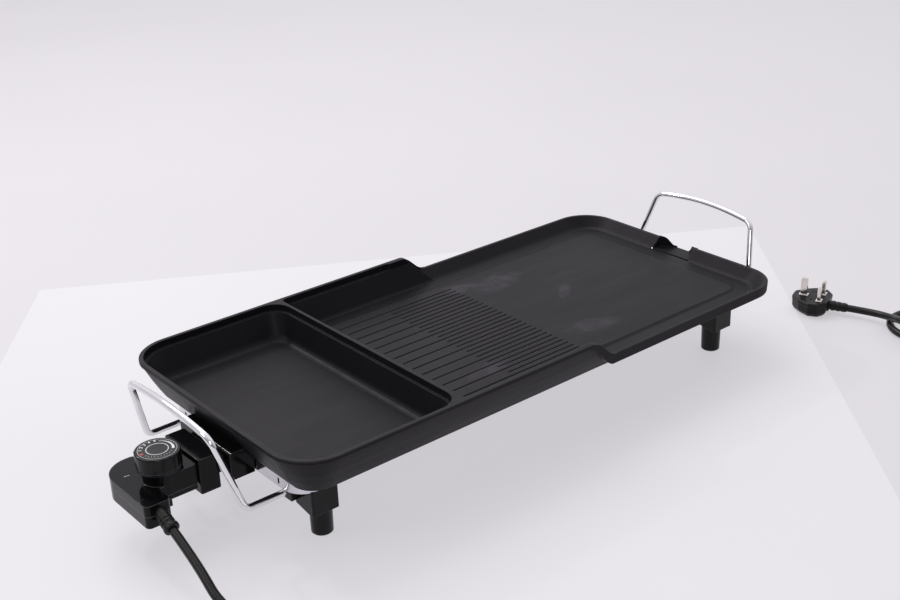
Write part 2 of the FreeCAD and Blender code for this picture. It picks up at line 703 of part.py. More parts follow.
def make_socket_screws():
    return [screw(socket_lug_x, s * socket_lug_y, socket_lug_top - socket_lug_thick, plate_bottom - 2.0,
                  small_screw_radius, small_head_radius, small_head_height) for s in (-1, 1)]


# ---------------------------------------------------------------- plug-in control
def case_solid(shrink):
    """The control's outer form, or its inside when shrink is the wall thickness."""
    s = shrink
    levels = (case_bottom + s, case_top - s)
    rear = loft([outline_xy(case_left + s, case_right - s, case_arm_far - case_edge, case_far - s, z,
                            case_corner - s, case_edge - s) for z in levels])
    rear = rear.cut(box(case_arm_right - s, case_right + 1, case_arm_near, case_arm_far + s, 0, case_top))
    arm = loft([outline_xy(case_left + s, case_arm_right - s, case_arm_near + s, 0, z, case_edge - s)
                for z in levels])
    neck = loft([outline_xy(neck_left + s, neck_right - s, -neck_half + s, neck_half - s, z,
                            case_wall + 0.1)
                 for z in (neck_bottom + s, neck_top - s)])
    bridge_half = neck_half - 2 - s
    bridge = box(case_left + 12, neck_left + 8, -bridge_half, bridge_half, neck_bottom + s, case_top - s)
    at = V(knob_x, knob_y, 0)
    collar = rod(collar_radius - s, at + Z * (neck_bottom + s + 1), at + Z * (knob_bottom - knob_gap - s))
    return rear.fuse([arm, neck, bridge, collar]).removeSplitter()


# screw posts of the case: place, underside and top
case_posts = [(case_left + post_inset, case_far - post_inset, case_bottom, case_top),
              (neck_right - 8.5, neck_half - 7.5, neck_bottom, neck_top),
              (neck_right - 8.5, -neck_half + 7.5, neck_bottom, neck_top)]
screw_seat = case_split - 3.0


def make_case_halves():
    shell = case_solid(0.0).cut(case_solid(case_wall))
    spigot = box(neck_right - case_wall - 1, neck_right + 1, -spigot_half, spigot_half,
                 neck_bottom + spigot_drop, neck_top - spigot_drop)
    bush_hole = rod(bush_radius, V(knob_x, knob_y, case_split), V(knob_x, knob_y, knob_top))
    cord_hole = rod(cord_radius + 1.4, boot_start - Y, boot_start + Y * (case_wall + 1))
    shell = shell.cut([spigot, bush_hole, cord_hole])
    around = (case_left - 1, neck_right + 1, case_arm_near - 1, case_far + 1)
    lower = shell.common(box(*around, case_bottom - 1, case_split))
    upper = shell.common(box(*around, case_split, knob_top))
    for x, y, bottom, top in case_posts:
        lower = lower.fuse(rod(post_radius, V(x, y, bottom + 1), V(x, y, case_split)))
        upper = upper.fuse(rod(post_radius, V(x, y, case_split), V(x, y, top - 1)))
        recess = rod(case_screw_head + screw_fit, V(x, y, bottom - 1), V(x, y, screw_seat))
        lower = lower.cut([rod(case_screw_radius + screw_fit, V(x, y, bottom - 1), V(x, y, case_split)),
                           recess])
        upper = upper.cut(rod(case_screw_radius, V(x, y, case_split),
                              V(x, y, case_split + case_screw_grip + 1)))
    return lower.removeSplitter(), upper.removeSplitter()


def make_head():
    """Front block of the control, with the nose that enters the socket."""
    block = loft([outline_xy(head_left, head_right, -head_half, head_half, z, 2.0, 2.0)
                  for z in (tube_z - head_below, tube_z + head_above)])
    nose = loft([outline_xy(head_right - 1, nose_right, -nose_half, nose_half, z, 1.5, 2.5)
                 for z in (nose_bottom, nose_top)])
    half, low, high = spigot_half - 0.1, neck_bottom + spigot_drop + 0.1, neck_top - spigot_drop - 0.1
    spigot = box(neck_right - case_wall - 2, head_left + 1, -half, half, low, high)
    cuts = [rod(probe_radius, V(head_left - 12, 0, tube_z), V(nose_right + 1, 0, tube_z))]
    for s in (-1, 1):
        cuts.append(rod(sleeve_radius, V(sleeve_left, s * lead_half, tube_z),
                        V(nose_right + 1, s * lead_half, tube_z)))
    return block.fuse([nose, spigot]).cut(cuts).removeSplitter()


def make_sleeves():
    """Sprung contact sleeves in the nose that grip the terminal pins."""
    sleeves = []
    for s in (-1, 1):
        tube = rod(sleeve_radius, V(sleeve_left, s * lead_half, tube_z),
                   V(nose_right - 1, s * lead_half, tube_z))
        bore = rod(pin_radius + sleeve_fit, V(sleeve_left + 6, s * lead_half, tube_z),
                   V(nose_right, s * lead_half, tube_z))
        sleeves.append(tube.cut(bore))
    return sleeves


def make_probe():
    """Stainless sensing rod with a domed tip."""
    shaft = rod(probe_radius, V(probe_back, 0, tube_z), V(probe_tip - probe_radius, 0, tube_z))
    return shaft.fuse(Part.makeSphere(probe_radius,
                                      V(probe_tip - probe_radius, 0, tube_z))).removeSplitter()


def make_probe_bracket():
    """Steel bracket on the case floor that holds the probe's inner end."""
    floor_z = neck_bottom + case_wall
    post = box(probe_back + 1, probe_back + 9, -8, 8, floor_z, tube_z + 5)
    base = box(probe_back - 3, probe_back + 9, -8, 8, floor_z, floor_z + 1.5)
    return post.fuse(base).cut(rod(probe_radius, V(probe_back, 0, tube_z),
                                   V(probe_back + 12, 0, tube_z))).removeSplitter()


def make_thermostat_stack():
    """Ceramic washers and rivet of the thermostat, under the knob's shaft."""
    return rod(stack_radius, V(knob_x, knob_y, neck_bottom + case_wall), V(knob_x, knob_y, stack_top))


def make_contact_blades():
    """Two spring blades clamped on the stack, one above the other."""
    blades = []
    for k, reach in enumerate((16.0, 13.0)):
        z = stack_top + blade_pitch * k
        blade = box(knob_x - 5, knob_x + 4, knob_y - 4, knob_y + reach, z, z + blade_thick)
        spacer = rod(4.0, V(knob_x, knob_y, z + blade_thick), V(knob_x, knob_y, z + blade_pitch))
        blades.append(blade.fuse(spacer).removeSplitter())
    return blades


def make_bush():
    """Brass bush in the case that carries the knob's shaft."""
    collar = rod(bush_radius + 2.0, V(knob_x, knob_y, bush_bottom), V(knob_x, knob_y, bush_bottom + 1.5))
    body = rod(bush_radius, V(knob_x, knob_y, bush_bottom),
               V(knob_x, knob_y, knob_bottom - knob_gap - 0.4))
    return body.fuse(collar).cut(rod(shaft_radius + shaft_fit, V(knob_x, knob_y, bush_bottom - 1),
                                     V(knob_x, knob_y, knob_bottom))).removeSplitter()


def make_case_screws():
    return [screw(x, y, screw_seat, case_split + case_screw_grip, case_screw_radius, case_screw_head, 1.8)
            for x, y, bottom, top in case_posts]


def shaft_key():
    """What is cut off one side of the shaft, and left standing in the knob's hole."""
    return box(knob_x - shaft_radius, knob_x + shaft_radius, knob_y + shaft_radius - shaft_flat,
               knob_y + shaft_radius + 1, knob_bottom + 2, knob_top)


def make_knob():
    at = V(knob_x, knob_y, 0)
    body = rod(knob_radius, at + Z * knob_bottom, at + Z * knob_top)
    body = body.makeFillet(1.6, [e for e in body.Edges if e.BoundBox.ZMin > knob_top - 0.1])
    groove = ring(knob_radius + 1, knob_radius - 0.7, at + Z * (knob_bottom + 2.2),
                  at + Z * (knob_bottom + 3.2))
    inside = ring(knob_radius - knob_skirt_wall, hub_radius, at + Z * (knob_bottom - 1),
                  at + Z * (knob_top - knob_top_thick))
    shaft_hole = rod(shaft_radius, at + Z * (knob_bottom - 1), at + Z * (knob_top - 4))
    recess = rod(dial_radius, at + Z * (knob_top - dial_thick), at + Z * (knob_top + 1))
    return body.cut([groove, inside, shaft_hole.cut(shaft_key()), recess]).removeSplitter()


def make_shaft():
    at = V(knob_x, knob_y, 0)
    return rod(shaft_radius, at + Z * (blades_top + 0.4),
               at + Z * (knob_top - 4.2)).cut(shaft_key()).removeSplitter()


def make_dial():
    at = V(knob_x, knob_y, 0)
    return rod(dial_radius, at + Z * (knob_top - dial_thick), at + Z * knob_top)


# ---------------------------------------------------------------- mains lead
def make_boot():
    """Rubber strain relief: a flange inside the case, two thin ribs and a thick rounded end."""
    skin = boot_start + Y * case_wall
    flange = rod(boot_radius, skin, skin + Y * 2)
    neck = rod(cord_radius + 1.3, boot_start - Y, skin + Y)
    core = rod(boot_radius, boot_start - boot_axis * 4, boot_end - boot_axis)
    ribs = [rod(boot_radius + 0.6, boot_start + boot_axis * reach, boot_start + boot_axis * (reach + 1.8))
            for reach in (8.0, 12.0)]
    bead = rod(boot_bead_radius, boot_end - boot_axis * boot_bead, boot_end)
    bead = bead.makeFillet(1.8, [e for e in bead.Edges if e.Length > 2 * math.pi * boot_bead_radius - 1])
    outside = box(case_left, case_arm_right, case_arm_near - 2 * boot_length, case_arm_near, 0, knob_top)
    body = core.common(outside).fuse(ribs + [bead])
    bore = rod(cord_radius, cord_start, boot_end + boot_axis)
    return body.fuse([neck, flange]).cut(bore).removeSplitter()


# Route of the lead from the strain relief to the coil. It stays a list set by hand.
cord_route = [
    cord_start, boot_end + boot_axis * 40.0,
    V(-428.0, -167.0, 13.0), V(-394.0, -207.0, cord_radius), V(-307.0, -268.0, cord_radius),
    V(-224.0, -348.0, cord_radius), V(-138.0, -416.0, cord_radius), V(-62.0, -488.0, cord_radius),
    V(-8.0, -540.0, cord_radius), V(50.0, -541.0, cord_radius), V(116.0, -491.0, cord_radius),
    V(211.0, -435.0, cord_radius), V(300.0, -369.0, cord_radius), V(379.0, -326.0, cord_radius),
    V(445.4, -316.6, cord_radius), V(466.0, -249.0, cord_radius),
]
# From the top of the coil to the plug.
tail_route = [
    V(464.0, -269.5, 22.6), V(467.0, -243.0, 21.5), V(482.5, -220.5, 14.0),
    plug_boot_end + plug_axis * 33.0, plug_boot_end,
]
# Wound part of the lead: one loose turn on the table, and the rest of the turns piled beside it.
coil_turn = 41.8             # radius of the turns, to the middle of the lead
loose_centre = V(509.0, -251.0, 0.0)
pile_centre = V(503.0, -272.0, 0.0)
pile_layers = 3
tie_width = 12.0
tie_thick = 1.6
tie_tail = 44.0


def cord_tube(route, name):
    """Tube of straight runs and tangent arcs, each arc as large as its runs allow."""
    radii = []
    for i in range(1, len(route) - 1):
        before, after = route[i] - route[i - 1], route[i + 1] - route[i]
        half_turn = before.getAngle(after) / 2
        radii.append(0.45 * min(before.Length, after.Length) / math.tan(half_turn))
    path = rounded_path(route, radii)
    tube = pipe(path, cord_radius)
    area = math.pi * cord_radius ** 2
    print(name, "arc radii", [round(r) for r in radii], "length", round(path.Length, 1),
          "volume ratio", round(tube.Volume / (area * path.Length), 4))
    return tube


def wound_ring(centre, height):
    outer, inner = coil_turn + cord_radius, coil_turn - cord_radius
    return ring(outer, inner, centre, centre + Z * height)


def make_coil():
    """Outer shape of the wound part of the lead."""
    loose = wound_ring(loose_centre, 2 * cord_radius)
    pile = wound_ring(pile_centre, 2 * cord_radius * pile_layers + 1.0)
    return loose.fuse(pile)


def make_tie(coil):
    """Rubber strap round the turns, with its loose end lying away from them."""
    half = cord_radius + tie_thick
    y = pile_centre.y - coil_turn
    x0, x1 = pile_centre.x - tie_width / 2, pile_centre.x + tie_width / 2
    band = box(x0, x1, y - half, y + half, 0, 2 * cord_radius * pile_layers + 1.0 + tie_thick)
    end = box(x0, x1, y - half - tie_tail, y - half + 1.0, 0, tie_thick)
    return band.fuse(end).cut(coil).removeSplitter()


# ---------------------------------------------------------------- plug
def placed(shape):
    """From the plug's own axes (X towards the lead, origin midway between the current pins)."""
    shape = shape.copy()
    shape.rotate(V(0, 0, 0), Z, plug_turn - 90.0)
    shape.translate(plug_mid)
    return shape


def plug_outline(shrink, z):
    s = shrink
    side = [(-35 + s, 7), (-24 + s * 0.6, 19 - s * 0.8), (-10, 27.5 - s), (2, 25.5 - s),
            (plug_end - s, 15 - s * 0.3)]
    points = [(x, -y) for x, y in side] + side[::-1]
    corners = [V(x, y, z) for x, y in points]
    return Part.makePolygon(corners + corners[:1])


def pin_boxes(low, high):
    """The three pins' prisms: earth, live and neutral."""
    sizes = [(-earth_spacing, 0, earth_wide / 2, blade_width / 2, earth_stand),
             (0, -pin_spacing / 2, blade_width / 2, blade_long / 2, blade_stand),
             (0, pin_spacing / 2, blade_width / 2, blade_long / 2, blade_stand)]
    return [box(x - hx, x + hx, y - hy, y + hy, low,
                plug_height + reach if high is None else high) for x, y, hx, hy, reach in sizes]


def make_plug():
    seam = plug_height - plug_face
    back = loft([plug_outline(3.5, 0.0), plug_outline(0.8, 4.0), plug_outline(0.3, seam)])
    face = loft([plug_outline(0.0, seam), plug_outline(0.0, plug_height - 0.8),
                 plug_outline(0.8, plug_height)])
    back = back.cut(pin_boxes(plug_pin_root, seam + 1) + [box(plug_end - 3, plug_end + 1, -6, 6, 3, seam)])
    well = box(fuse_x - 5, fuse_x + 5, -fuse_half - 2, fuse_half + 2, fuse_floor, plug_height + 1)
    back, face = back.cut(well), face.cut(pin_boxes(0, plug_height + 1) + [well])
    pins = []
    for pin in pin_boxes(plug_pin_root, None):
        tip = [e for e in pin.Edges if e.BoundBox.ZMin > plug_height + 10]
        pins.append(pin.makeChamfer(1.2, tip))
    side, end = 5 - fuse_gap, fuse_half + 2 - fuse_gap
    carrier = box(fuse_x - side, fuse_x + side, -end, end, fuse_floor + fuse_gap, plug_height - fuse_gap)
    cradle = rod(fuse_radius, V(fuse_x, -fuse_half, fuse_z), V(fuse_x, fuse_half, fuse_z))
    mouth = box(fuse_x - fuse_radius, fuse_x + fuse_radius, -fuse_half, fuse_half, fuse_floor - 1, fuse_z)
    pry = box(fuse_x - 1.5, fuse_x + 1.5, -fuse_half - 2, -fuse_half + 1, plug_height - 2.0, plug_height)
    carrier = carrier.cut([cradle, mouth, pry]).removeSplitter()
    cap_start = fuse_half - 5
    fuse = rod(fuse_radius - 0.4, V(fuse_x, -cap_start, fuse_z), V(fuse_x, cap_start, fuse_z))
    caps = [rod(fuse_radius, V(fuse_x, s * cap_start, fuse_z),
                V(fuse_x, s * fuse_half, fuse_z)) for s in (-1, 1)]
    middle = V(0, 0, plug_height / 2)
    boot = rod(cord_radius + 1.0, middle + X * plug_end, middle + X * (plug_end + plug_boot_length))
    root = box(plug_end - 3, plug_end + 0.5, -6, 6, 3.0, seam)
    blocks = []
    for k in range(3):
        start = middle + X * (plug_end + 3.0 + 6.4 * k)
        blocks.append(rod(plug_boot_radius - 0.25 * k, start, start + X * 4.2))
    boot = boot.fuse(blocks + [root])
    names = ["plug_back", "plug_face", "plug_pin_earth", "plug_pin_live", "plug_pin_neutral",
             "fuse_carrier",
             "fuse_barrel", "plug_boot"]
    shapes = [[back.removeSplitter()], [face.removeSplitter()], [pins[0]], [pins[1]], [pins[2]], [carrier],
              [fuse], [boot.removeSplitter()]]
    for name, solids in zip(names, shapes):
        save(name, *[placed(s) for s in solids])
    save("fuse_caps", *[placed(s) for s in caps])


# ---------------------------------------------------------------- build
os.makedirs("parts", exist_ok=True)

save("griddle_plate", make_plate())
save("heating_tube", pipe(tube_path(), tube_radius))
pins = make_terminal_pins()
save("terminal_pin_rear", pins[1])
save("terminal_pin_front", pins[0])
save("reflector_tray", make_tray())
for word_y, sy in (("front", -1), ("rear", 1)):
    for word_x, sx in (("left", -1), ("right", 1)):
        save(f"foot_{word_y}_{word_x}", make_foot(sx, sy))
save("foot_screws", *make_foot_screws())
save("handle_left", make_handle(-1, handle_left_foot, handle_left_top))
save("handle_right", make_handle(1, handle_right_foot, handle_right_top))
save("socket_housing", make_socket())
save("socket_screws", *make_socket_screws())
save("terminal_beads", *make_terminal_beads())

lower, upper = make_case_halves()
save("control_case_lower", lower)
save("control_case_upper", upper)
save("control_head", make_head())
save("contact_sleeves", *make_sleeves())
save("probe_rod", make_probe())
save("probe_bracket", make_probe_bracket())
save("thermostat_stack", make_thermostat_stack())
save("contact_blades", *make_contact_blades())
save("shaft_bush", make_bush())
save("case_screws", *make_case_screws())
save("knob", make_knob())
save("knob_shaft", make_shaft())
save("knob_dial", make_dial())

save("cord_boot", make_boot())
save("cord_run", cord_tube(cord_route, "cord_run"))
coil = make_coil()
save("cord_coil", coil)
save("cord_tie", make_tie(coil))
save("cord_tail", cord_tube(tail_route, "cord_tail"))
make_plug()
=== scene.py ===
import json
import math

import bmesh
import bpy
from mathutils import Matrix, Vector


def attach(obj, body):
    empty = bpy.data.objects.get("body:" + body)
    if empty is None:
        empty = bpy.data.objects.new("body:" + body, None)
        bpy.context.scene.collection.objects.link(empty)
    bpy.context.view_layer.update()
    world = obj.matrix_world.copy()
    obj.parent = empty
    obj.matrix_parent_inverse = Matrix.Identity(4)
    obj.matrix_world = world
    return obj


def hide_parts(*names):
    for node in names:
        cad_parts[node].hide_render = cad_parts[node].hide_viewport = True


# Looks of the table griddle. Places are given in millimetres from the plate's centre, and at() turns them
# into metres in the part's frame. Lights, bevels and bumps are in metres.

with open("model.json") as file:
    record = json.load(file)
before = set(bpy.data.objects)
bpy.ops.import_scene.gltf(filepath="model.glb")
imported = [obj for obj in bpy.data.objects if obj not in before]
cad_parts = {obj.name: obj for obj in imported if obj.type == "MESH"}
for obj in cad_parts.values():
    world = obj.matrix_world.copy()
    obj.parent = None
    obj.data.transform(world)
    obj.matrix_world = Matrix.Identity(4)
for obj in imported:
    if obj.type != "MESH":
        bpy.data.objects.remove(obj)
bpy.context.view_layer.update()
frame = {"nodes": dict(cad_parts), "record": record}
nodes = frame["nodes"]

# ---------------------------------------------------------------- driving values
shift_x = 0.02225              # metres from the frame's origin to the plate's centre
cord_radius = 0.0044           # metres, like the length
smooth_angle = 28.0            # faces that meet at less than this are shaded as one

# Camera: lens and sensor, place, and its own axes.
lens_length, sensor_width, near_clip = 53.24, 36.0, 0.05
camera_place = (-857.17, -1016.70, 719.42)
camera_right = Vector((0.76647599, -0.64141335, -0.03321843))
camera_down = Vector((-0.2873477, -0.29620092, -0.91087667))
camera_forward = Vector((0.57440913, 0.70771034, -0.41133954))

# Print on the dial and the case.
dial_centre = Vector((-398.0, -14.0, 97.5))
dial_start = -40.0             # where the dial's angles start, in degrees from +X
case_top = 67.0
print_lift = 0.05              # of the printed bands over the face under them
numeral_lift = 0.06
numeral_high = 4.2
numeral_thick = 0.00002        # metres, like the next one
numeral_bold = 0.00016         # how much the strokes are widened
index_corners = [(-423.8, 10.6), (-423.8, 10.1), (-418.4, 9.5), (-418.4, 10.0)]

# Plug: the middle of its current pins, its turn, and the pale white rings round the feet of its pins.
plug_mid = Vector((465.0, -129.5, 0.0))
plug_turn = 21.0
plug_top = 18.0
pin_pitch = 22.2
trim_wide = 1.7
trim_high = 0.4
trim_gap = 0.1                 # between a ring and its pin
# Each pin's foot: the ring's name, its place from the middle of the current pins, and its half sizes.
pin_feet = [
    ("trim_earth", -pin_pitch, 0.0, 4.0, 2.0),
    ("trim_live", 0.0, -pin_pitch / 2, 2.0, 3.175),
    ("trim_neutral", 0.0, pin_pitch / 2, 2.0, 3.175),
]

# Set: a white sheet on a table.
sheet_corners = [(-236.0, 639.0, 0.0), (633.0, 117.0, 0.0), (-55.0, -695.0, 0.0), (-749.0, -63.0, 0.0)]
table_half = 8.0               # metres, like the next one
table_z = -0.001               # just under the sheet
wall_direction = (0.40, 0.50, 0.77)
# Square lights: name, place, aim and size, and power in watts.
lights = [
    ("key", (0.3, 1.3, 2.1), (0.05, 0, 0), 1.6, 26),
    ("side", (-1.7, 0.5, 1.5), (-0.2, 0, 0), 1.0, 6),
    ("front", (-1.0, -1.15, 0.75), (-0.05, 0, 0.08), 0.4, 3.5),
    ("glint", (-0.5, 1.6, 1.5), (-0.1, 0, 0), 0.16, 7),
]

square = ((-1, -1), (1, -1), (1, 1), (-1, 1))     # corners, in their order round it


def at(x, y, z):
    """Point given in millimetres from the plate's centre."""
    return Vector((x / 1000 + shift_x, y / 1000, z / 1000))


def placed(name, data):
    obj = bpy.data.objects.new(name, data)
    bpy.context.scene.collection.objects.link(obj)
    return obj


def mesh_object(name, bm, material):
    """Object with the faces of bm, which is freed, and one material."""
    mesh = bpy.data.meshes.new(name)
    bm.to_mesh(mesh)
    bm.free()
    mesh.materials.append(material)
    return placed(name, mesh)


def flat_face(name, corners, material):
    """One flat face that looks up."""
    bm = bmesh.new()
    face = bm.faces.new([bm.verts.new(corner) for corner in corners])
    face.normal_update()
    if face.normal.z < 0:
        face.normal_flip()
    return mesh_object(name, bm, material)


# ---------------------------------------------------------------- camera
def make_camera():
    data = bpy.data.cameras.new("camera")
    data.lens, data.sensor_width = lens_length, sensor_width
    data.clip_start = near_clip
    camera = placed("camera", data)
    turn = Matrix((camera_right, -camera_down, -camera_forward)).transposed()
    camera.matrix_world = Matrix.Translation(at(*camera_place)) @ turn.to_4x4()
    bpy.context.scene.camera = camera


# ---------------------------------------------------------------- mains lead
boot_droop = math.radians(20.0)
boot_axis = Vector((0, -math.cos(boot_droop), -math.sin(boot_droop)))
boot_end = Vector((-421.0, -52.5, 56.0)) + boot_axis * 22.0
run_points = [
    boot_end - boot_axis * 12.0, boot_end + boot_axis * 40.0,
    (-428, -167, 13), (-394, -207, 4.4), (-307, -268, 4.4), (-224, -348, 4.4), (-138, -416, 4.4),
    (-62, -488, 4.4), (-8, -540, 4.4), (50, -541, 4.4), (116, -491, 4.4), (211, -435, 4.4),
    (300, -369, 4.4), (379, -326, 4.4), (445.4, -316.6, 4.4),
]
tail_points = [(467, -243, 22.6), (482.5, -220.5, 14), (488.4, -190.6, 9), (476.6, -159.8, 9)]
coil_start = 185.0
coil_per_turn = 12
# Each stage of the winding: turns, then the centre, radius and height that it ends with.
coil_stages = [
    (0.0, 509, -251, 42, 4.4), (5 / 12, 509, -251, 42, 4.4), (1 / 12, 508, -253, 43, 4.4),
    (3 / 12, 503, -269, 43, 4.4), (3 / 12, 503, -273, 42, 13.6), (8 / 12, 503, -273, 41, 13.6),
    (3 / 12, 503, -273, 41, 23.0), (2 / 12, 502, -272, 42, 23.4),
]


def coil_points():
    points, turned = [], 0.0
    for before, after in zip(coil_stages, coil_stages[1:]):
        count = round(after[0] * coil_per_turn)
        for i in range(count):
            share = i / count
            x, y, radius, z = (a + (b - a) * share for a, b in zip(before[1:], after[1:]))
            angle = math.radians(coil_start - 360.0 * (turned + after[0] * share))
            grown = radius / math.cos(math.pi / coil_per_turn)
            points.append((x + grown * math.cos(angle), y + grown * math.sin(angle), z))
        turned += after[0]
    return points


def spline_object(name, points, radius):
    curve = bpy.data.curves.new(name, "CURVE")
    curve.dimensions = "3D"
    curve.bevel_depth = radius
    curve.bevel_resolution = 6
    curve.resolution_u = 8
    spline = curve.splines.new("NURBS")
    spline.points.add(len(points) - 1)
    for slot, point in zip(spline.points, points):
        slot.co = (*at(*point), 1.0)
    spline.order_u = 3
    spline.use_endpoint_u = True
    return placed(name, curve)


def make_lead(pin_rings):
    lead = spline_object("mains_lead", run_points + coil_points() + tail_points, cord_radius)
    lead.data.materials.append(lead_sheath())
    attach(lead, "control")
    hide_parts("cord_run", "cord_coil", "cord_tail")
    on_it = [nodes[n] for n in ("cord_tie", "plug_boot", "plug_back", "plug_face", "plug_pin_earth",
                                "plug_pin_live", "plug_pin_neutral", "fuse_carrier", "fuse_barrel",
                                "fuse_caps")]
    on_it += pin_rings


# ---------------------------------------------------------------- materials
class Surface:
    """A material's node tree, with the few node chains that the surfaces share."""

    def __init__(self, name, **sockets):
        self.material = bpy.data.materials.new(name)
        self.material.use_nodes = True
        self.tree = self.material.node_tree
        self.shader = self.tree.nodes["Principled BSDF"]
        for key, value in sockets.items():
            self.shader.inputs[key.replace("_", " ")].default_value = value
        self.place = self.tree.nodes.new("ShaderNodeTexCoord").outputs["Object"]
        self.normal = None

    def soft_edges(self, radius):
        """Rounds the shading across sharp edges. Gives 1 on an edge, falling to 0 beside it; the plate
        coating and the black mouldings paint a highlight along their edges with this mask.
        """
        node = self.tree.nodes.new("ShaderNodeBevel")
        node.samples = 4
        node.inputs["Radius"].default_value = radius
        self.normal = node.outputs["Normal"]
        self.link(self.normal, self.shader.inputs["Normal"])
        flat = self.tree.nodes.new("ShaderNodeNewGeometry").outputs["Normal"]
        turned = self.tree.nodes.new("ShaderNodeVectorMath")
        turned.operation = "DOT_PRODUCT"
        self.link(self.normal, turned.inputs[0])
        self.link(flat, turned.inputs[1])
        edge_starts, edge_full = 0.99, 0.82     # cosines between the flat and the rounded normal
        return self.ranged(turned.outputs["Value"], 0.0, 1.0, edge_starts, edge_full)

    def spot(self, centre, half_length, half_width, turn):
        """1 at a soft-edged oval's centre, falling to 0 at its outline."""
        node = self.tree.nodes.new("ShaderNodeMapping")
        node.vector_type = "TEXTURE"
        node.inputs["Location"].default_value = centre
        node.inputs["Rotation"].default_value = (0, 0, turn)
        node.inputs["Scale"].default_value = (half_length, half_width, 1.0)
        self.link(self.place, node.inputs["Vector"])
        ball = self.tree.nodes.new("ShaderNodeTexGradient")
        ball.gradient_type = "SPHERICAL"
        self.link(node.outputs["Vector"], ball.inputs["Vector"])
        return ball.outputs["Fac"]

    def maths(self, operation, a, b):
        node = self.tree.nodes.new("ShaderNodeMath")
        node.operation = operation
        for socket, value in zip(node.inputs, (a, b)):
            if isinstance(value, float):
                socket.default_value = value
            else:
                self.link(value, socket)
        return node.outputs["Value"]

    def link(self, a, b):
        self.tree.links.new(a, b)

    def stretched(self, scale):
        node = self.tree.nodes.new("ShaderNodeMapping")
        node.inputs["Scale"].default_value = scale
        self.link(self.place, node.inputs["Vector"])
        return node.outputs["Vector"]

    def noise(self, scale, detail, place=None, roughness=0.5):
        node = self.tree.nodes.new("ShaderNodeTexNoise")
        node.inputs["Scale"].default_value = scale
        node.inputs["Detail"].default_value = detail
        node.inputs["Roughness"].default_value = roughness
        self.link(place or self.place, node.inputs["Vector"])
        return node.outputs["Fac"]

    def ranged(self, value, low, high, start=0.3, end=0.7):
        node = self.tree.nodes.new("ShaderNodeMapRange")
        for key, number in (("From Min", start), ("From Max", end), ("To Min", low), ("To Max", high)):
            node.inputs[key].default_value = number
        self.link(value, node.inputs["Value"])
        return node.outputs["Result"]

    def mixed(self, share, a, b):
        node = self.tree.nodes.new("ShaderNodeMix")
        node.data_type = "RGBA"
        self.link(share, node.inputs["Factor"])
        for socket, value in (("A", a), ("B", b)):
            target = [s for s in node.inputs if s.name == socket and s.type == "RGBA"][0]
            if isinstance(value, tuple):
                target.default_value = (*value, 1.0)
            else:
                self.link(value, target)
        return [s for s in node.outputs if s.type == "RGBA"][0]

    def colour(self, value):
        self.link(value, self.shader.inputs["Base Color"])

    def roughness(self, value):
        self.link(value, self.shader.inputs["Roughness"])

    def bump(self, height, depth, strength):
        node = self.tree.nodes.new("ShaderNodeBump")
        node.inputs["Distance"].default_value = depth
        node.inputs["Strength"].default_value = strength
        self.link(height, node.inputs["Height"])
        if self.normal:
            self.link(self.normal, node.inputs["Normal"])
        self.normal = node.outputs["Normal"]
        self.link(self.normal, self.shader.inputs["Normal"])


def shared(make):
    """One material for each maker, made when it is first asked for."""
    made = []

    def ask():
        if not made:
            made.append(make())
        return made[0]
    return ask


# Wiped marks on the cooking floor: centre, half length and half width in millimetres, and turn in degrees.
wiped_marks = [
    ((110, 83, 80), 46, 24, 15), ((106, -78, 80), 40, 18, -12), ((-50, -80, 80), 34, 13, 5),
    ((66, 99, 80), 34, 15, -20), ((150, 10, 80), 26, 9, 40),
]


@shared
def plate_coating():
    """Black non-stick coating: fine orange peel, faint streaks from wiping, a few duller marks, and a
    painted highlight along its sharp edges.
    """
    s = Surface("plate_coating", Specular_IOR_Level=0.13, Specular_Tint=(0.97, 0.89, 1.0, 1.0))
    edge = s.soft_edges(0.0011)
    marks = None
    for centre, half_length, half_width, turn in wiped_marks:
        mark = s.spot(at(*centre), half_length / 1000, half_width / 1000, math.radians(turn))
        marks = s.maths("MAXIMUM", marks, mark) if marks else mark
    broken = s.ranged(s.noise(45.0, 5.0, roughness=0.7), 0.15, 1.0, 0.38, 0.58)
    marks = s.maths("MULTIPLY", s.ranged(marks, 0.0, 1.0, 0.0, 0.45), broken)
    patches = s.noise(9.0, 4.0, roughness=0.6)
    wiped = s.noise(5.0, 5.0, s.stretched((2.0, 14.0, 6.0)))
    speck = s.noise(900.0, 2.0)
    tone = s.mixed(s.ranged(patches, 0.0, 1.0, 0.42, 0.72), (0.0060, 0.0056, 0.0066),
                   (0.0082, 0.0077, 0.0090))
    tone = s.mixed(s.ranged(speck, 0.0, 0.35, 0.45, 0.75), tone, (0.015, 0.0145, 0.016))
    # The lighter colour on the edges is a painted highlight.
    s.colour(s.mixed(edge, s.mixed(marks, tone, (0.023, 0.021, 0.027)), (0.055, 0.052, 0.060)))
    s.roughness(s.maths("SUBTRACT", s.ranged(wiped, 0.43, 0.49, 0.35, 0.70),
                        s.maths("MULTIPLY", marks, 0.07)))
    s.bump(s.noise(1400.0, 2.0), 0.00006, 0.5)
    s.bump(s.noise(260.0, 2.0), 0.00012, 0.35)
    return s.material


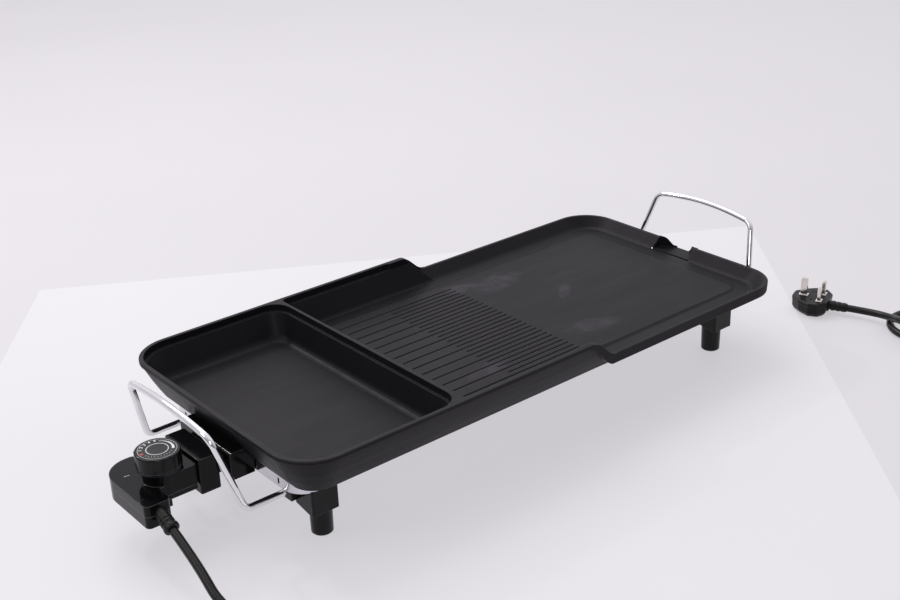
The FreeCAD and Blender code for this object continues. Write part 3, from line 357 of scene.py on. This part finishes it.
def moulded(name, tone, rough, peel, edge, shine):
    """Moulded black plastic: a little unevenness in tone and gloss, the faint waviness of its skin, and a
    painted highlight along its sharp edges.
    """
    s = Surface(name, Specular_IOR_Level=shine)
    painted_edge_highlight = s.soft_edges(edge)
    cloud = s.noise(35.0, 3.0)
    lighter = tuple(c * 1.5 for c in tone)
    # The lighter colour on the edges is a painted highlight.
    s.colour(s.mixed(painted_edge_highlight, s.mixed(s.ranged(cloud, 0.0, 1.0), tone, lighter), (0.085, 0.083, 0.090)))
    s.roughness(s.ranged(s.noise(60.0, 4.0), *rough))
    s.bump(s.noise(180.0, 2.0), 0.00010, peel)
    s.bump(s.noise(2500.0, 2.0), 0.00003, peel)
    return s.material


@shared
def foot_moulding():
    return moulded("foot_moulding", (0.0035, 0.0035, 0.0038), rough=(0.20, 0.32), peel=0.4,
                   edge=0.0009, shine=0.22)


@shared
def socket_moulding():
    return moulded("socket_moulding", (0.0028, 0.0028, 0.0031), rough=(0.07, 0.13), peel=0.16,
                   edge=0.0010, shine=0.17)


@shared
def case_moulding():
    return moulded("case_moulding", (0.0030, 0.0029, 0.0033), rough=(0.06, 0.12), peel=0.16,
                   edge=0.0014, shine=0.16)


@shared
def knob_moulding():
    return moulded("knob_moulding", (0.0036, 0.0035, 0.0039), rough=(0.16, 0.24), peel=0.25,
                   edge=0.0008, shine=0.20)


@shared
def dial_face():
    return moulded("dial_face", (0.0050, 0.0050, 0.0055), rough=(0.30, 0.42), peel=0.3,
                   edge=0.0004, shine=0.25)


@shared
def plug_moulding():
    return moulded("plug_moulding", (0.0040, 0.0038, 0.0040), rough=(0.30, 0.42), peel=0.4,
                   edge=0.0008, shine=0.20)


@shared
def carrier_moulding():
    return moulded("carrier_moulding", (0.0045, 0.0042, 0.0045), rough=(0.36, 0.48), peel=0.4,
                   edge=0.0004, shine=0.20)


@shared
def pin_ring_white():
    s = Surface("pin_ring_white")
    s.soft_edges(0.0003)
    s.colour(s.mixed(s.ranged(s.noise(300.0, 3.0), 0.0, 1.0), (0.86, 0.85, 0.83), (0.74, 0.73, 0.71)))
    s.roughness(s.ranged(s.noise(400.0, 3.0), 0.35, 0.5))
    return s.material


@shared
def lead_sheath():
    s = Surface("lead_sheath", Specular_IOR_Level=0.25)
    s.colour(s.mixed(s.ranged(s.noise(40.0, 3.0), 0.0, 1.0), (0.0035, 0.0034, 0.0037),
                     (0.0060, 0.0058, 0.0062)))
    s.roughness(s.ranged(s.noise(90.0, 3.0), 0.26, 0.38))
    s.bump(s.noise(700.0, 2.0), 0.00008, 0.5)
    return s.material


@shared
def lead_rubber():
    s = Surface("lead_rubber", Specular_IOR_Level=0.25)
    s.soft_edges(0.0007)
    s.colour(s.mixed(s.ranged(s.noise(60.0, 3.0), 0.0, 1.0), (0.0035, 0.0034, 0.0037),
                     (0.0065, 0.0063, 0.0068)))
    s.roughness(s.ranged(s.noise(120.0, 3.0), 0.32, 0.46))
    s.bump(s.noise(900.0, 2.0), 0.00010, 0.6)
    return s.material


def metal(name, tone, rough, brushed=None, wave=0.1):
    """Metal with a faint waviness. brushed stretches its grain along each axis."""
    s = Surface(name, Metallic=1.0)
    s.soft_edges(0.0004)
    darker = tuple(c * 0.9 for c in tone)
    s.colour(s.mixed(s.ranged(s.noise(45.0, 3.0), 0.0, 1.0), tone, darker))
    place = s.stretched(brushed) if brushed else None
    s.roughness(s.ranged(s.noise(80.0, 3.0, place), *rough))
    s.bump(s.noise(120.0, 2.0, place), 0.00010, wave)
    return s.material


@shared
def wire_chrome():
    return metal("wire_chrome", (0.84, 0.84, 0.86), rough=(0.03, 0.08), wave=0.12)


@shared
def tray_chrome():
    return metal("tray_chrome", (0.70, 0.69, 0.73), rough=(0.09, 0.18), brushed=(1.0, 12.0, 12.0),
                 wave=0.25)


@shared
def plated_steel():
    return metal("plated_steel", (0.60, 0.60, 0.59), rough=(0.22, 0.36))


@shared
def element_steel():
    return metal("element_steel", (0.30, 0.28, 0.26), rough=(0.40, 0.60))


@shared
def probe_steel():
    return metal("probe_steel", (0.66, 0.66, 0.65), rough=(0.14, 0.26), brushed=(3.0, 30.0, 30.0))


@shared
def contact_brass():
    return metal("contact_brass", (0.80, 0.74, 0.70), rough=(0.14, 0.26))


@shared
def fuse_plating():
    return metal("fuse_plating", (0.72, 0.72, 0.71), rough=(0.12, 0.25))


@shared
def ceramic():
    s = Surface("ceramic")
    s.colour(s.mixed(s.ranged(s.noise(150.0, 3.0), 0.0, 1.0), (0.70, 0.66, 0.58), (0.60, 0.56, 0.48)))
    s.roughness(s.ranged(s.noise(200.0, 3.0), 0.30, 0.50))
    s.bump(s.noise(800.0, 2.0), 0.00008, 0.4)
    return s.material


def ink(name, tone, painted_edge_highlight):
    s = Surface(name)
    s.colour(s.mixed(s.ranged(s.noise(900.0, 2.0), 0.0, 1.0), tone, painted_edge_highlight))
    s.roughness(s.ranged(s.noise(700.0, 2.0), 0.40, 0.55))
    return s.material


@shared
def print_white():
    return ink("print_white", (0.78, 0.78, 0.78), (0.62, 0.62, 0.63))


@shared
def print_red():
    return ink("print_red", (0.55, 0.03, 0.03), (0.40, 0.02, 0.025))


makers = {
    "plate_coating": plate_coating, "element_steel": element_steel, "plated_steel": plated_steel,
    "tray_chrome": tray_chrome, "wire_chrome": wire_chrome, "foot_moulding": foot_moulding,
    "socket_moulding": socket_moulding, "case_moulding": case_moulding, "knob_moulding": knob_moulding,
    "dial_face": dial_face, "ceramic": ceramic, "contact_brass": contact_brass, "probe_steel": probe_steel,
    "lead_sheath": lead_sheath, "lead_rubber": lead_rubber, "plug_moulding": plug_moulding,
    "carrier_moulding": carrier_moulding, "fuse_plating": fuse_plating,
}


def dress_nodes():
    """Gives each CAD node the material of its slot, and smooths the shading of its curved faces."""
    for entry in frame["record"]["subparts"]:
        mesh = nodes[entry["node"]].data
        mesh.materials.clear()
        mesh.materials.append(makers[entry["material_slot"]]())
        mesh.shade_smooth()
        mesh.set_sharp_from_angle(angle=math.radians(smooth_angle))


# ---------------------------------------------------------------- dial
def toward(angle, radius, lift):
    """Point on the dial, in millimetres. Seen from above, angles go counterclockwise from dial_start."""
    turn = math.radians(angle + dial_start)
    return dial_centre + Vector((radius * math.cos(turn), radius * math.sin(turn), lift))


def band(name, start, end, inner, outer, material, steps=48):
    """Flat printed arc. inner and outer are radii at its start and at its end."""
    bm = bmesh.new()
    rows = []
    for i in range(steps + 1):
        share = i / steps
        angle = start + (end - start) * share
        radii = [side[0] + (side[1] - side[0]) * share for side in (inner, outer)]
        rows.append([bm.verts.new(at(*toward(angle, radius, print_lift))) for radius in radii])
    for (a, b), (c, d) in zip(rows, rows[1:]):
        bm.faces.new((a, b, d, c))
    bmesh.ops.recalc_face_normals(bm, faces=bm.faces)
    if sum(face.normal.z for face in bm.faces) < 0:
        bmesh.ops.reverse_faces(bm, faces=bm.faces)
    return mesh_object(name, bm, material)


def numeral(text, angle, radius, material):
    name = "dial_number_" + text
    font = bpy.data.curves.new(name, "FONT")
    font.body, font.size = text, numeral_high / 1000
    font.align_x, font.align_y = "CENTER", "CENTER"
    font.extrude = numeral_thick
    font.offset = numeral_bold
    font.materials.append(material)
    obj = placed(name, font)
    obj.location = at(*toward(angle, radius, numeral_lift))
    obj.rotation_euler = (0, 0, math.radians(angle + dial_start - 90.0))
    return obj


def make_dial():
    white = print_white()
    marks = [
        band("dial_ring", 0, 360, (10.0, 10.0), (10.7, 10.7), white),
        band("dial_rim_ring", 0, 360, (18.0, 18.0), (18.3, 18.3), white),
        band("dial_heat_arc", 4, 96, (13.4, 14.6), (16.0, 15.1), white),
        band("dial_off_mark", 212, 222, (14.2, 14.2), (17.0, 17.0), print_red(), steps=6),
    ]
    marks += [band("dial_tick_%d" % i, angle, angle + 1.5, (13.6, 13.6), (15.0, 15.0), white, steps=2)
              for i, angle in enumerate(range(236, 350, 12))]
    marks += [numeral(str(i + 1), 190 - 20 * i, 15.6, white) for i in range(5)]
    for mark in marks:
        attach(mark, "knob")


# ---------------------------------------------------------------- printed mark and pale pin rings
def make_index_mark():
    """White line on the case that the knob is read against."""
    corners = [at(x, y, case_top + print_lift) for x, y in index_corners]
    mark = flat_face("case_index_mark", corners, print_white())
    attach(mark, "control")


def make_pin_rings():
    """Pale white rings round the feet of the plug's pins."""
    turn = Matrix.Rotation(math.radians(plug_turn - 90.0), 3, "Z")
    pin_rings = []
    for name, x, y, half_x, half_y in pin_feet:
        bm = bmesh.new()
        rings = []
        top = plug_top + trim_high
        for grow, z in ((trim_wide, plug_top), (trim_wide, top), (trim_gap, top)):
            corners = [Vector((x + a * (half_x + grow), y + b * (half_y + grow), z)) for a, b in square]
            rings.append([bm.verts.new(at(*(plug_mid + turn @ corner))) for corner in corners])
        for low, high in zip(rings, rings[1:]):
            for i in range(4):
                bm.faces.new((low[i], low[(i + 1) % 4], high[(i + 1) % 4], high[i]))
        pin_ring = mesh_object(name, bm, pin_ring_white())
        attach(pin_ring, "control")
        pin_rings.append(pin_ring)
    return pin_rings


# ---------------------------------------------------------------- stage
def ground(name, corners, tone, glow):
    """Flat piece of the set, lifted a little by its own light so that the shadows on it stay pale."""
    s = Surface(name, Roughness=0.8, Emission_Color=(0.98, 0.95, 1.0, 1.0), Emission_Strength=glow)
    darker = tuple(c * 0.95 for c in tone)
    s.colour(s.mixed(s.ranged(s.noise(2.0, 3.0), 0.0, 1.0), tone, darker))
    flat_face(name, corners, s.material)


def make_stage():
    table_corners = [(x * table_half, y * table_half, table_z) for x, y in square]
    ground("table", table_corners, (0.24, 0.23, 0.24), 0.47)
    ground("sheet", [at(*corner) for corner in sheet_corners], (0.26, 0.255, 0.265), 0.51)


def area_light(name, place, aim, size, power):
    data = bpy.data.lights.new(name, "AREA")
    data.shape, data.size, data.energy = "SQUARE", size, power
    light = placed(name, data)
    light.location = place
    light.rotation_euler = (Vector(aim) - Vector(place)).to_track_quat("-Z", "Y").to_euler()


def make_lights():
    """Pale room that is darker on the viewer's side. A large soft light stands overhead and behind, one on
    the left, a small one in front, and a smaller one behind for the glint on the chrome."""
    bpy.context.scene.view_settings.view_transform = "Standard"
    world = bpy.data.worlds.new("studio")
    bpy.context.scene.world = world
    world.use_nodes = True
    tree = world.node_tree
    back = tree.nodes["Background"]
    back.inputs["Color"].default_value = (0.97, 0.955, 1.0, 1.0)
    direction = tree.nodes.new("ShaderNodeTexCoord").outputs["Generated"]
    toward_wall = tree.nodes.new("ShaderNodeVectorMath")
    toward_wall.operation = "DOT_PRODUCT"
    toward_wall.inputs[1].default_value = wall_direction
    tree.links.new(direction, toward_wall.inputs[0])
    strength = tree.nodes.new("ShaderNodeMapRange")
    for key, number in (("From Min", -0.55), ("From Max", 0.75), ("To Min", 0.10), ("To Max", 0.92)):
        strength.inputs[key].default_value = number
    tree.links.new(toward_wall.outputs["Value"], strength.inputs["Value"])
    tree.links.new(strength.outputs["Result"], back.inputs["Strength"])
    for light in lights:
        area_light(*light)


make_camera()
make_lead(make_pin_rings())
dress_nodes()
make_dial()
make_index_mark()
make_stage()
make_lights()
